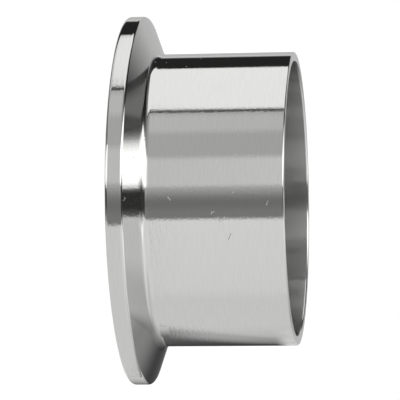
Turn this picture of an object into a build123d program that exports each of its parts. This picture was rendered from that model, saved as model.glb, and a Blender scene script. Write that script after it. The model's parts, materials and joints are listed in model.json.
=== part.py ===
"""Long weld ferrule for 2 inch sanitary tube, turned from one piece of stainless steel.

The ferrule stands on its sealing face: the face lies in the XY plane, looks down, and its
centre is the origin. The axis of the bore is +Z, and the tube end that gets welded is at the
top. Everything is a body of revolution about Z. Lengths are in millimetres, angles in degrees.

From the bottom up it has a sealing face with a round gasket groove, a thin flange rim whose
back slopes by 20 degrees for the clamp, a small fillet that runs the slope into the neck, and
a long plain tube of constant wall up to the weld end.
"""

import os
from math import radians, sin, tan

from build123d import *

# Tube
tube_od = 50.8
wall = 1.65
overall_length = 28.6

# Flange, measured outwards from the tube and upwards from the sealing face
flange_overhang = 6.6
rim_thickness = 2.85
clamp_angle = 20.0
neck_fillet = 1.4

# Gasket groove in the sealing face: rounded root, flared sides
groove_inset = 3.8
groove_depth = 1.6
groove_root_radius = 1.2
groove_flare = 20.0
groove_lip_radius = 0.15

# Edge breaks
rim_edge_radius = 0.5
bore_edge_radius = 0.1
weld_outer_edge_radius = 0.25
weld_inner_edge_radius = 0.3

# What follows from those
tube_radius = tube_od / 2
bore_radius = tube_radius - wall
flange_radius = tube_radius + flange_overhang
groove_radius = flange_radius - groove_inset


def neck_height():
    """Height at which the sloping back of the flange would meet the tube without its fillet."""
    return rim_thickness + flange_overhang * tan(radians(clamp_angle))


def groove_apex():
    """Height at which the flared sides of the groove would meet without the rounded root."""
    return groove_depth + groove_root_radius * (1 / sin(radians(groove_flare)) - 1)


def groove_half_width():
    """Half of the groove's width where its sides reach the sealing face."""
    return groove_apex() * tan(radians(groove_flare))


def wall_section():
    """One half of the ferrule cut along its axis: each corner has its place and its radius."""
    half_width = groove_half_width()
    corners = [
        # radius from the axis, height, rounding of the corner
        (bore_radius, 0, bore_edge_radius),
        (groove_radius - half_width, 0, groove_lip_radius),
        (groove_radius, groove_apex(), groove_root_radius),
        (groove_radius + half_width, 0, groove_lip_radius),
        (flange_radius, 0, rim_edge_radius),
        (flange_radius, rim_thickness, rim_edge_radius),
        (tube_radius, neck_height(), neck_fillet),
        (tube_radius, overall_length, weld_outer_edge_radius),
        (bore_radius, overall_length, weld_inner_edge_radius),
    ]
    points = [(r, z) for r, z, _ in corners]
    radii = [rounding for _, _, rounding in corners]
    with BuildSketch(Plane.XZ) as section:
        with BuildLine():
            FilletPolyline(*points, radius=radii, close=True)
        make_face()
    return section.sketch


def ferrule():
    """The whole ferrule: its wall section turned about the axis of the bore."""
    return revolve(wall_section(), axis=Axis.Z, revolution_arc=360)


os.makedirs("parts", exist_ok=True)
export_step(ferrule(), "parts/ferrule.step")
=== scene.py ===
import json
from math import atan2, cos, pi, radians, sin, tan

import bmesh
import bpy
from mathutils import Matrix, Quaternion, Vector


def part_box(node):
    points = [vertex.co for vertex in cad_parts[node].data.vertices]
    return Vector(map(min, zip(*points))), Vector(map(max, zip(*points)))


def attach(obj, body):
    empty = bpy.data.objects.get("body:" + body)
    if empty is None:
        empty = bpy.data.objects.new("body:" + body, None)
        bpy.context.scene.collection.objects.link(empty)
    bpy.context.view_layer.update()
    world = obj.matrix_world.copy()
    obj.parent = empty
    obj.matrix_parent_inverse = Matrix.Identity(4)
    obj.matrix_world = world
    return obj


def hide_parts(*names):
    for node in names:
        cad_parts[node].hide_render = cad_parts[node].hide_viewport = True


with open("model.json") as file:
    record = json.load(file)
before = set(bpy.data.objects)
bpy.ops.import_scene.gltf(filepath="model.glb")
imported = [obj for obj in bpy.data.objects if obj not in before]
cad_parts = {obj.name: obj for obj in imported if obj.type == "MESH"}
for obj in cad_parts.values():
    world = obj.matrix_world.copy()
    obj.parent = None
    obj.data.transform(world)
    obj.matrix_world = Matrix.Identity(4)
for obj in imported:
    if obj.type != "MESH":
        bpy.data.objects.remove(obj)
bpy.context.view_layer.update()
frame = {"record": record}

mm = 0.001

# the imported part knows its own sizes: box, bore and tube
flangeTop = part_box("ferrule")[1]
mountSizes = {m["name"]: m["dims"] for m in frame["record"]["mounts"]}
tubeRadius = mountSizes["tube_outside"]["r_mm"] * mm
boreRadius = mountSizes["flow_bore"]["r_mm"] * mm


# Node helpers: an input takes either a number or another node's output
def feed(tree, socket, value):
    if isinstance(value, bpy.types.NodeSocket):
        tree.links.new(value, socket)
    else:
        socket.default_value = value


def calc(tree, operation, *values):
    node = tree.nodes.new("ShaderNodeMath")
    node.operation = operation
    for socket, value in zip(node.inputs, values):
        feed(tree, socket, value)
    return node.outputs["Value"]


def calcVector(tree, operation, *values):
    node = tree.nodes.new("ShaderNodeVectorMath")
    node.operation = operation
    for socket, value in zip(node.inputs, values):
        feed(tree, socket, value)
    return node.outputs["Value" if operation in ("DOT_PRODUCT", "DISTANCE") else "Vector"]


def remap(tree, value, fromLow, fromHigh, toLow, toHigh, smooth=False):
    node = tree.nodes.new("ShaderNodeMapRange")
    node.interpolation_type = "SMOOTHSTEP" if smooth else "LINEAR"
    for socket, number in zip(node.inputs, (value, fromLow, fromHigh, toLow, toHigh)):
        feed(tree, socket, number)
    return node.outputs["Result"]


def splitPlace(tree, vector):
    node = tree.nodes.new("ShaderNodeSeparateXYZ")
    feed(tree, node.inputs["Vector"], vector)
    return node.outputs


def joinPlace(tree, *values):
    node = tree.nodes.new("ShaderNodeCombineXYZ")
    for socket, value in zip(node.inputs, values):
        feed(tree, socket, value)
    return node.outputs["Vector"]


def mix(tree, factor, first, second, kind="FLOAT"):
    node = tree.nodes.new("ShaderNodeMix")
    node.data_type = kind
    inputs = [socket for socket in node.inputs if socket.enabled]
    for socket, value in zip(inputs, (factor, first, second)):
        feed(tree, socket, value)
    return [socket for socket in node.outputs if socket.enabled][0]


def mixShader(tree, factor, first, second):
    node = tree.nodes.new("ShaderNodeMixShader")
    for socket, value in zip(node.inputs, (factor, first, second)):
        feed(tree, socket, value)
    return node.outputs["Shader"]


def grey(tone):
    return tone, tone, tone, 1


# Ferrule: half of the wall's section, rounded at its corners and turned round the bore
ferruleSizes = {
    "rimThickness": 2.85 * mm,
    "clampAngle": 20,            # degrees, back of the flange
    "neckFillet": 1.4 * mm,
    "grooveInset": 3.8 * mm,     # from the rim to the middle of the groove
    "grooveDepth": 1.6 * mm,
    "grooveRoot": 1.2 * mm,
    "grooveFlare": 20,           # degrees, each side of the groove
    "grooveLip": 0.15 * mm,
    "rimEdge": 0.5 * mm,
    "boreEdge": 0.1 * mm,
    "weldOuterEdge": 0.25 * mm,
    "weldInnerEdge": 0.3 * mm,
    "holdPoint": 0.02 * mm,      # from the end of each arc
    "turnSteps": 480,
    "edgeSteps": 8,
    "filletSteps": 28,
    "mergeGap": 0.0001 * mm,
    "polishDown": -0.3,          # polished faces look no further down and up than this, where 1
    "polishUp": 0.97,            # is straight up
}


def sectionCorners(size):
    rim = flangeTop.x
    top = flangeTop.z
    neck = size["rimThickness"] + (rim - tubeRadius) * tan(radians(size["clampAngle"]))
    flare = radians(size["grooveFlare"])
    groove = rim - size["grooveInset"]
    apex = size["grooveDepth"] + size["grooveRoot"] * (1 / sin(flare) - 1)
    half = apex * tan(flare)
    edge, fillet = size["edgeSteps"], size["filletSteps"]
    return [
        (boreRadius, 0, size["boreEdge"], edge),
        (groove - half, 0, size["grooveLip"], edge),
        (groove, apex, size["grooveRoot"], fillet),
        (groove + half, 0, size["grooveLip"], edge),
        (rim, 0, size["rimEdge"], edge),
        (rim, size["rimThickness"], size["rimEdge"], edge),
        (tubeRadius, neck, size["neckFillet"], fillet),
        (tubeRadius, top, size["weldOuterEdge"], edge),
        (boreRadius, top, size["weldInnerEdge"], edge),
    ]


def roundCorner(corner, toLast, toNext, rounding, steps):
    # the points of an arc that touches the straight lines on both sides of the corner
    half = toLast.angle(toNext) / 2
    centre = corner + (toLast + toNext).normalized() * rounding / sin(half)
    start = corner + toLast * rounding / tan(half) - centre
    end = corner + toNext * rounding / tan(half) - centre
    sweep, axis = pi - 2 * half, start.cross(end).normalized()
    return [centre + Quaternion(axis, sweep * step / steps) @ start for step in range(steps + 1)]


def drawSection(bm, size):
    corners = [(Vector((r, 0, z)), rounding, steps) for r, z, rounding, steps in sectionCorners(size)]
    points = []
    for i, (corner, rounding, steps) in enumerate(corners):
        toLast = (corners[i - 1][0] - corner).normalized()
        toNext = (corners[(i + 1) % len(corners)][0] - corner).normalized()
        arc = roundCorner(corner, toLast, toNext, rounding, steps)
        # a point just past each end of the arc keeps the shading of the straight line flat
        points += [arc[0] + toLast * size["holdPoint"], *arc, arc[-1] + toNext * size["holdPoint"]]
    verts = [bm.verts.new(point) for point in points]
    for i, vert in enumerate(verts):
        bm.edges.new((verts[i - 1], vert))


def measureSection(bm, along):
    # how far each point lies along the section, from the bore's lower edge round to there again
    vert = min(bm.verts, key=lambda v: (round(v.co.z, 7), v.co.x))
    edge = max(vert.link_edges, key=lambda e: e.other_vert(vert).co.x)
    length = 0
    for _ in range(len(bm.verts)):
        vert[along] = length
        length += edge.calc_length()
        vert = edge.other_vert(vert)
        edge = [e for e in vert.link_edges if e is not edge][0]
    return length


def unwrap(value, first, period):
    return value + round((first - value) / period) * period


def mapSurface(bm, along, sectionLength):
    # across the map goes round the bore, up the map goes along the section, both at real size
    uv = bm.loops.layers.uv.new("turned")
    for face in bm.faces:
        first = face.loops[0].vert
        firstTurn = atan2(first.co.y, first.co.x)
        for loop in face.loops:
            turn = unwrap(atan2(loop.vert.co.y, loop.vert.co.x), firstTurn, 2 * pi)
            loop[uv].uv = (turn * tubeRadius, unwrap(loop.vert[along], first[along], sectionLength))


def turnFerrule(size):
    bm = bmesh.new()
    along = bm.verts.layers.float.new("alongSection")
    drawSection(bm, size)
    sectionLength = measureSection(bm, along)
    print("section drawn:", len(bm.verts), "points,", round(sectionLength / mm, 2), "mm round")
    bmesh.ops.spin(bm, geom=bm.verts[:] + bm.edges[:], cent=(0, 0, 0), axis=(0, 0, 1),
                   angle=2 * pi, steps=size["turnSteps"], use_merge=True)
    bmesh.ops.remove_doubles(bm, verts=bm.verts[:], dist=size["mergeGap"])
    bmesh.ops.recalc_face_normals(bm, faces=bm.faces[:])
    mapSurface(bm, along, sectionLength)
    outside = tubeRadius - size["weldOuterEdge"]
    for face in bm.faces:
        face.smooth = True
        polished = face.calc_center_median().xy.length > outside
        polished = polished and size["polishDown"] < face.normal.z < size["polishUp"]
        face.material_index = 0 if polished else 1
    mesh = bpy.data.meshes.new("turned_ferrule")
    bm.to_mesh(mesh)
    bm.free()
    piece = bpy.data.objects.new("turned_ferrule", mesh)
    bpy.context.scene.collection.objects.link(piece)
    return piece


ferrule = turnFerrule(ferruleSizes)
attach(ferrule, "root")
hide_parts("ferrule")
print("ferrule turned:", len(ferrule.data.polygons), "faces")


# Polished outside: near a mirror, with the faint waves, turning marks and nicks of a handled part
polishSizes = {
    "roughLow": 0.03,
    "roughHigh": 0.07,
    "cloud": 6 * mm,             # between rougher patches
    "cloudRange": (0.3, 0.7),    # of the noise
    "wave": 0.45 * mm,           # from crest to crest
    "waveHeight": 0.004 * mm,
    "markPitch": 0.25 * mm,      # between turning marks
    "markRun": 14,               # times as long round the tube as they are wide
    "markHeight": 0.0006 * mm,
    "markRange": (0.35, 0.65),   # of the noise
    "markTone": 0.03,            # how much they darken the steel
    "nickRough": 0.5,
    "nickTone": 0.35,
    "nickWide": 0.09 * mm,
}

# Each nick runs from one place to another: degrees round from the camera's side, then mm up
nicks = [
    (1.3, 9.50, 0.1, 9.90),
    (2.7, 20.19, 2.4, 20.25),
    (-0.7, 26.03, -1.0, 25.98),
    (-1.5, 25.86, -2.1, 25.77),
    (-5.2, 16.64, -4.5, 16.74),
    (-4.5, 16.74, -4.4, 17.16),
    (-6.5, 17.66, -7.6, 18.06),
    (-7.3, 17.84, -8.3, 18.04),
    (-6.4, 18.82, -7.7, 18.49),
    (5.0, 10.38, 4.6, 10.39),
    (67.5, 5.45, 67.2, 5.56),
    (67.9, 7.34, 67.6, 7.44),
    (63.3, 11.01, 63.0, 11.11),
    (72.3, 12.96, 72.0, 13.07),
    (25.0, 20.98, 24.7, 21.03),
    (8.9, 26.22, 8.6, 26.27),
]
darkNicks = [
    (-12.6, 19.82, -15.0, 19.32),
    (17.5, 7.47, 17.2, 7.58),
]
steelColor = (0.78, 0.78, 0.77, 1)


def startSteel(name):
    steel = bpy.data.materials.new(name)
    steel.use_nodes = True
    shader = steel.node_tree.nodes["Principled BSDF"]
    shader.inputs["Metallic"].default_value = 1
    shader.inputs["Base Color"].default_value = steelColor
    return steel, steel.node_tree, shader


def noise(tree, place, pitch, detail=2, dimensions="3D"):
    node = tree.nodes.new("ShaderNodeTexNoise")
    node.noise_dimensions = dimensions
    feed(tree, node.inputs["W" if dimensions == "1D" else "Vector"], place)
    node.inputs["Scale"].default_value = 1 / pitch
    node.inputs["Detail"].default_value = detail
    return node.outputs["Fac"]


def bump(tree, height, distance, below=None):
    node = tree.nodes.new("ShaderNodeBump")
    node.inputs["Distance"].default_value = distance
    feed(tree, node.inputs["Height"], height)
    if below:
        feed(tree, node.inputs["Normal"], below)
    return node.outputs["Normal"]


def surfacePlace(tree):
    coords = tree.nodes.new("ShaderNodeTexCoord")
    chart = tree.nodes.new("ShaderNodeUVMap")
    chart.uv_map = "turned"
    onMap = splitPlace(tree, chart.outputs["UV"])
    return coords.outputs["Object"], onMap["X"], onMap["Y"]


def nickPlace(turn, up):
    return Vector((radians(-90 - turn) * tubeRadius, up * mm, 0))


def nickMask(tree, point, nick, width):
    start, end = nickPlace(*nick[:2]), nickPlace(*nick[2:])
    run = (end - start).normalized()
    along = calcVector(tree, "DOT_PRODUCT", calcVector(tree, "SUBTRACT", point, start), run)
    along = remap(tree, along, 0, (end - start).length, 0, (end - start).length)
    nearest = calcVector(tree, "MULTIPLY_ADD", run, along, start)
    return remap(tree, calcVector(tree, "DISTANCE", point, nearest), width / 2, width, 1, 0)


def nickMasks(tree, point, places, width):
    mask = 0
    for nick in places:
        mask = calc(tree, "MAXIMUM", mask, nickMask(tree, point, nick, width))
    return mask


def polishedSteel(size):
    steel, tree, shader = startSteel("polished_outside")
    place, around, along = surfacePlace(tree)
    point = joinPlace(tree, around, splitPlace(tree, place)["Z"])
    light = nickMasks(tree, point, nicks, size["nickWide"])
    dark = nickMasks(tree, point, darkNicks, size["nickWide"])
    # long thin marks: the map is squeezed round the tube before the noise is read
    squeezed = joinPlace(tree, calc(tree, "MULTIPLY", around, 1 / size["markRun"]), along)
    marks = noise(tree, squeezed, size["markPitch"], detail=3, dimensions="2D")
    # roughness: cloudy patches, and the nicks scatter
    clouds = noise(tree, place, size["cloud"])
    rough = remap(tree, clouds, *size["cloudRange"], size["roughLow"], size["roughHigh"])
    nickRough = calc(tree, "MULTIPLY", calc(tree, "MAXIMUM", light, dark), size["nickRough"])
    feed(tree, shader.inputs["Roughness"], calc(tree, "MAXIMUM", rough, nickRough))
    # tone: turning marks darken it a little, dark nicks more
    markTone = remap(tree, marks, *size["markRange"], size["markTone"], 0)
    nickTone = calc(tree, "MULTIPLY", dark, size["nickTone"])
    darker = calc(tree, "MAXIMUM", markTone, nickTone)
    feed(tree, shader.inputs["Base Color"], mix(tree, darker, steelColor, grey(0), "RGBA"))
    waves = bump(tree, noise(tree, place, size["wave"], detail=1), size["waveHeight"])
    feed(tree, shader.inputs["Normal"], bump(tree, marks, size["markHeight"], waves))
    return steel


# Turned bore and faces: fine rings round the bore, so a reflection spreads across them
turnedSizes = {
    "rough": 0.15,
    "spread": 1,                 # anisotropic share
    "spreadTurn": 0.25,          # of a full turn, across the rings
    "ringPitch": 0.18 * mm,
    "ringHeight": 0.002 * mm,
}


def turnedSteel(size):
    steel, tree, shader = startSteel("turned_bore")
    _, _, along = surfacePlace(tree)
    shader.inputs["Roughness"].default_value = size["rough"]
    shader.inputs["Anisotropic"].default_value = size["spread"]
    shader.inputs["Anisotropic Rotation"].default_value = size["spreadTurn"]
    tangent = tree.nodes.new("ShaderNodeTangent")
    tangent.direction_type = "UV_MAP"
    tangent.uv_map = "turned"
    feed(tree, shader.inputs["Tangent"], tangent.outputs["Tangent"])
    rings = noise(tree, along, size["ringPitch"], dimensions="1D")
    feed(tree, shader.inputs["Normal"], bump(tree, rings, size["ringHeight"]))
    return steel


ferrule.data.materials.append(polishedSteel(polishSizes))
ferrule.data.materials.append(turnedSteel(turnedSizes))
print("finishes made:", len(ferrule.data.materials))


# Camera: a long lens, a little above the ferrule's middle, rolled so that the tube lies level
cameraSizes = {
    "aimHeight": 11.65 * mm,
    "distance": 447.4 * mm,
    "elevation": 7.135,          # degrees
    "roll": 89.266,
    "lens": 231.5,               # mm of focal length
    "nearest": 10 * mm,          # nothing closer than this is seen
}


def placeCamera(size):
    tilt = radians(size["elevation"])
    back = Vector((0, -cos(tilt), sin(tilt)))
    camera = bpy.data.objects.new("camera", bpy.data.cameras.new("camera"))
    bpy.context.scene.collection.objects.link(camera)
    camera.data.lens = size["lens"]
    camera.data.clip_start = size["nearest"]
    camera.location = Vector((0, 0, size["aimHeight"])) + back * size["distance"]
    level = (-back).to_track_quat("-Z", "Y")
    camera.rotation_mode = "QUATERNION"
    camera.rotation_quaternion = level @ Quaternion((0, 0, 1), radians(size["roll"]))
    bpy.context.scene.camera = camera


placeCamera(cameraSizes)
bpy.context.scene.view_settings.view_transform = "Standard"
bpy.context.scene.cycles.glossy_bounces = 12      # light goes round the bore many times
print("camera placed")


# Studio: the pale walls, soft lights and dark gaps that the steel mirrors, each a flat panel far
# away. A later panel covers an earlier one. Turn is round the bore from the camera's side, height
# is above the floor, and wide and tall are the panel's spread, all in degrees. Soft and softTall
# blur its edges, and fadeSide and fadeTop are what its glow gains from its middle to an edge.
studioTone = 0.70                # where there is no panel
leastDepth = 0.02                # keeps a panel off the far side of the sky
studioPanels = {
    "sideWall": {"turn": -31.3, "height": 15.2, "wide": 99.47, "tall": 122.8, "soft": 0.303,
                 "softTall": 0.251, "glow": 0.785, "fadeSide": 0.032, "fadeTop": 0.005},
    "ceiling": {"turn": -97.17, "height": 51.69, "wide": 48.75, "tall": 35.01, "soft": 0.248,
                "softTall": 0.216, "glow": 0.747, "fadeTop": 0.234},
    "farDark": {"turn": -156.92, "height": 17.33, "wide": 59.19, "tall": 44.56, "soft": 0.503,
                "softTall": 0.177, "glow": 0.259},
    "tableGrey": {"turn": -144.31, "height": -8.78, "wide": 62.29, "tall": 8.04, "spin": -8.13,
                  "soft": 0.049, "softTall": 0.007, "glow": 0.459},
    "tableDark": {"turn": -146.02, "height": -10.71, "wide": 45.26, "tall": 7.81, "spin": -4.5,
                  "soft": 0.079, "softTall": 0.013, "glow": 0.131},
    "paleTable": {"ground": -8.35, "soft": 0.1, "glow": 0.7},
    "cornerBlack": {"turn": -167.04, "height": 3.76, "wide": 30.98, "tall": 31.74, "soft": 0.43,
                    "softTall": 0.184, "glow": 0.02},
    "upperDark": {"turn": 114.43, "height": 41.93, "wide": 116.07, "tall": 35.23, "soft": 0.147,
                  "softTall": 0.003, "glow": 0.226},
    "upperGap": {"turn": 149.75, "height": 21.18, "wide": 37.01, "tall": 12.68, "soft": 0.209,
                 "softTall": 0.219, "glow": 0.066},
    "midGrey": {"turn": 38.1, "height": -0.29, "wide": 86.72, "tall": 96.87, "soft": 0.044,
                "softTall": 0.329, "glow": 0.422, "fadeTop": -0.28},
    "midLight": {"turn": 61.88, "height": -18.73, "wide": 15.79, "tall": 42.64, "soft": 0.065,
                 "softTall": 0.322, "glow": 0.586},
    "lightGrey": {"turn": 20.49, "height": 17.83, "wide": 27, "tall": 73.17, "soft": 0.059,
                  "softTall": 0.1, "glow": 0.97, "fadeTop": 0.52},
    "bigSoftbox": {"turn": 34.65, "height": 68.23, "wide": 44.47, "tall": 100.81, "spin": -21.38,
                   "soft": 0.191, "softTall": 0.15, "glow": 1.89},
    "upperBlack": {"turn": 110.6, "height": 51.79, "wide": 43.09, "tall": 15.39, "soft": 0.526,
                   "softTall": 0.029, "glow": 0},
    "neckBlack": {"turn": 147.36, "height": 44.96, "wide": 38.57, "tall": 21.94, "soft": 0.334,
                  "softTall": 0.165, "glow": 0},
    "paleWall": {"turn": 170.1, "height": -3.9, "wide": 28.9, "tall": 59.3, "soft": 0.021,
                 "softTall": 0.3, "glow": 0.52},
    "blackGap": {"turn": 136.7, "height": -4.9, "wide": 28.4, "tall": 76.3, "soft": 0.05,
                 "softTall": 0.36, "glow": 0.02},
    "sideSoftbox": {"turn": 100.3, "height": 10.6, "wide": 52, "tall": 41.5, "soft": 0.03,
                    "softTall": 0.034, "glow": 0.99},
    "seam": {"turn": 72.9, "height": 10, "wide": 2.6, "tall": 92, "soft": 0.01, "softTall": 0.1,
             "glow": 0.1},
    "stripLow": {"turn": -1.89, "height": 3.62, "wide": 25.35, "tall": 115.1, "soft": 0.033,
                 "softTall": 0.083, "glow": 0.342, "fadeSide": 0.137},
    "stripCore": {"turn": -2.68, "height": -25.9, "wide": 15.22, "tall": 118.19, "soft": 0.124,
                  "softTall": 0.096, "glow": 0.185},
    "stripHigh": {"turn": 0.05, "height": 71.81, "wide": 19.02, "tall": 73.16, "soft": 0.093,
                  "softTall": 0.182, "glow": 0.042},
    "underDark": {"turn": 99.91, "height": -58.53, "wide": 97.46, "tall": 28.11, "soft": 0.125,
                  "softTall": 0.025, "glow": 0.188},
    "underWhite": {"turn": 24.75, "height": -52.37, "wide": 23.55, "tall": 74.24, "soft": 0.003,
                   "softTall": 0.096, "glow": 1.303},
    "underStrip": {"turn": 2.07, "height": -72.92, "wide": 11.86, "tall": 87.1, "soft": 0.009,
                   "softTall": 0.15, "glow": 0.052},
}


def addGround(tree, direction, light, size):
    # everything lower than so many degrees is one pale tabletop
    low, high = (sin(radians(size["ground"] + side * size["soft"])) for side in (-1, 1))
    cover = remap(tree, splitPlace(tree, direction)["Z"], low, high, 1, 0, smooth=True)
    return mix(tree, cover, light, size["glow"])


def coverWithin(tree, distance, half, soft):
    return remap(tree, calc(tree, "ABSOLUTE", distance), half - soft, half + soft, 1, 0, smooth=True)


def addPanel(tree, direction, light, size):
    turn, height = radians(size["turn"]), radians(size["height"])
    centre = Vector((-cos(height) * sin(turn), -cos(height) * cos(turn), sin(height)))
    facing = centre.to_track_quat("-Z", "Y") @ Quaternion((0, 0, 1), radians(size.get("spin", 0)))
    halfWide, halfTall = tan(radians(size["wide"] / 2)), tan(radians(size["tall"] / 2))
    turned = tree.nodes.new("ShaderNodeMapping")
    turned.vector_type = "TEXTURE"
    turned.inputs["Rotation"].default_value = facing.to_euler()
    feed(tree, turned.inputs["Vector"], direction)
    split = splitPlace(tree, turned.outputs["Vector"])
    depth = calc(tree, "MULTIPLY", split["Z"], -1)
    across = calc(tree, "DIVIDE", split["X"], depth)
    rise = calc(tree, "DIVIDE", split["Y"], depth)
    cover = calc(tree, "MULTIPLY", coverWithin(tree, across, halfWide, size["soft"]),
                 coverWithin(tree, rise, halfTall, size["softTall"]))
    cover = calc(tree, "MULTIPLY", cover, calc(tree, "GREATER_THAN", depth, leastDepth))
    level = calc(tree, "MULTIPLY_ADD", across, size.get("fadeSide", 0) / halfWide, size["glow"])
    level = calc(tree, "MULTIPLY_ADD", rise, size.get("fadeTop", 0) / halfTall, level)
    return mix(tree, cover, light, calc(tree, "MAXIMUM", level, 0))


def buildStudio(tone, panels):
    world = bpy.data.worlds.new("studio")
    bpy.context.scene.world = world
    world.use_nodes = True
    tree = world.node_tree
    direction = tree.nodes.new("ShaderNodeTexCoord").outputs["Generated"]
    light = tone
    for size in panels.values():
        add = addGround if "ground" in size else addPanel
        light = add(tree, direction, light, size)
    mirrored = tree.nodes["Background"]
    feed(tree, mirrored.inputs["Color"], light)
    white = tree.nodes.new("ShaderNodeBackground")
    white.inputs["Color"].default_value = grey(1)
    toCamera = tree.nodes.new("ShaderNodeLightPath").outputs["Is Camera Ray"]
    seen = mixShader(tree, toCamera, mirrored.outputs["Background"], white.outputs["Background"])
    feed(tree, tree.nodes["World Output"].inputs["Surface"], seen)


buildStudio(studioTone, studioPanels)
print("studio built:", len(studioPanels), "panels")


# Floor: white to the camera but for the ferrule's own soft shadow, and clear to all else
floorSizes = {
    "radius": 900 * mm,
    "drop": 0.02 * mm,           # below the sealing face
    "glow": 0.86,
    "shade": 0.26,               # how much of the light that falls on it shows
    # the tone below is the painted shade of the disc under the bore
    "boreShadeTone": 0.03,            # the disc under the bore
    "sides": 64,
}


def addStage(name, bm):
    mesh = bpy.data.meshes.new(name)
    bm.to_mesh(mesh)
    bm.free()
    piece = bpy.data.objects.new(name, mesh)
    bpy.context.scene.collection.objects.link(piece)
    return piece


def startPaint(piece):
    paint = bpy.data.materials.new(piece.name + "_paint")
    paint.use_nodes = True
    paint.node_tree.nodes.clear()
    piece.data.materials.append(paint)
    return paint.node_tree


def matt(tree, tone):
    node = tree.nodes.new("ShaderNodeBsdfDiffuse")
    node.inputs["Color"].default_value = grey(tone)
    return node.outputs["BSDF"]


def glowing(tree, strength):
    node = tree.nodes.new("ShaderNodeEmission")
    node.inputs["Color"].default_value = grey(1)
    feed(tree, node.inputs["Strength"], strength)
    return node.outputs["Emission"]


def finishPaint(tree, shader):
    feed(tree, tree.nodes.new("ShaderNodeOutputMaterial").inputs["Surface"], shader)


def coverWith(tree, shader, cover):
    # clear wherever cover is 0
    clear = tree.nodes.new("ShaderNodeBsdfTransparent").outputs["BSDF"]
    finishPaint(tree, mixShader(tree, cover, clear, shader))


def layFloor(size):
    bm = bmesh.new()
    bmesh.ops.create_circle(bm, cap_ends=True, segments=size["sides"], radius=size["radius"])
    bmesh.ops.translate(bm, verts=bm.verts[:], vec=(0, 0, -size["drop"]))
    tree = startPaint(addStage("floor", bm))
    both = tree.nodes.new("ShaderNodeAddShader")
    feed(tree, both.inputs[0], glowing(tree, size["glow"]))
    feed(tree, both.inputs[1], matt(tree, size["shade"]))
    toCamera = tree.nodes.new("ShaderNodeLightPath").outputs["Is Camera Ray"]
    below = tree.nodes.new("ShaderNodeNewGeometry").outputs["Backfacing"]
    seenAbove = calc(tree, "MULTIPLY", toCamera, calc(tree, "SUBTRACT", 1, below))
    coverWith(tree, both.outputs["Shader"], seenAbove)


def shadeBore(size):
    # painted shade: a dark disc under the bore, hidden from the camera, stands in for the shade where
    # little light gets down the bore, so its wall mirrors a dark floor there
    bm = bmesh.new()
    bmesh.ops.create_circle(bm, cap_ends=True, segments=size["sides"], radius=boreRadius)
    bmesh.ops.translate(bm, verts=bm.verts[:], vec=(0, 0, -size["drop"] / 2))
    shade = addStage("bore_painted_shade", bm)
    shade.visible_camera = False
    tree = startPaint(shade)
    finishPaint(tree, matt(tree, size["boreShadeTone"]))


# White board beside the rim, seen only by reflections. It ends a little way up the slope, and its
# glow falls toward its back end as painted shadow, the ferrule's own shadow on the board, where it
# also fades out.
rimBoardSizes = {
    "side": flangeTop.x + 0.3 * mm,
    "topEdge": 5.95 * mm,
    "bottomEdge": -1.5 * mm,
    "front": -8 * mm,            # in front of the rim's lowest point
    "back": -0.5 * mm,
    "fadeStart": -3 * mm,
    "frontGlow": 0.68,
    # glow at the back end, darkened as painted shadow
    "backShadowGlow": 0.055,
}


def leanBoard(name, size):
    low, high = size["bottomEdge"], size["topEdge"]
    front, back = size["front"], size["back"]
    bm = bmesh.new()
    bm.faces.new([bm.verts.new(corner) for corner in ((0, front, low), (0, back, low),
                                                      (0, back, high), (0, front, high))])
    bmesh.ops.translate(bm, verts=bm.verts[:], vec=(size["side"], 0, 0))
    board = addStage(name, bm)
    board.visible_camera = board.visible_diffuse = board.visible_shadow = False
    tree = startPaint(board)
    return tree, tree.nodes.new("ShaderNodeTexCoord").outputs["Object"]


def leanRimBoard(size):
    tree, place = leanBoard("rim_board", size)
    back = splitPlace(tree, place)["Y"]
    # painted shadow: the glow falls toward the back end, next to the rim
    strength = remap(tree, back, size["front"], size["back"], size["frontGlow"], size["backShadowGlow"])
    cover = remap(tree, back, size["fadeStart"], size["back"], 1, 0)
    coverWith(tree, glowing(tree, strength), cover)


# Flat pale sheet beside the weld end, seen only by reflections, with painted shade for the creases of
# crumpled paper. Its lower edge fades out.
sheetSizes = {
    "side": tubeRadius + 1 * mm,
    "bottomEdge": 24.6 * mm,
    "topEdge": 36 * mm,
    "front": -10 * mm,
    "back": 16 * mm,
    "fadeEnd": 27.2 * mm,
    "glow": 0.70,
    "crumple": 2.5 * mm,
    "creaseRange": (0.35, 0.5),  # of the noise
    # glow in the creases, darkened as painted shade
    "creaseShadeGlow": 0.60,
}


def leanSheet(size):
    tree, place = leanBoard("sheet_painted_creases", size)
    up = splitPlace(tree, place)["Z"]
    crumple = noise(tree, place, size["crumple"])
    # painted shade: the glow dips where the noise is low, as in the creases of crumpled paper
    strength = remap(tree, crumple, *size["creaseRange"], size["creaseShadeGlow"], size["glow"])
    cover = remap(tree, up, size["bottomEdge"], size["fadeEnd"], 0, 1, smooth=True)
    coverWith(tree, glowing(tree, strength), cover)


layFloor(floorSizes)
shadeBore(floorSizes)
leanRimBoard(rimBoardSizes)
leanSheet(sheetSizes)
print("floor and boards laid")
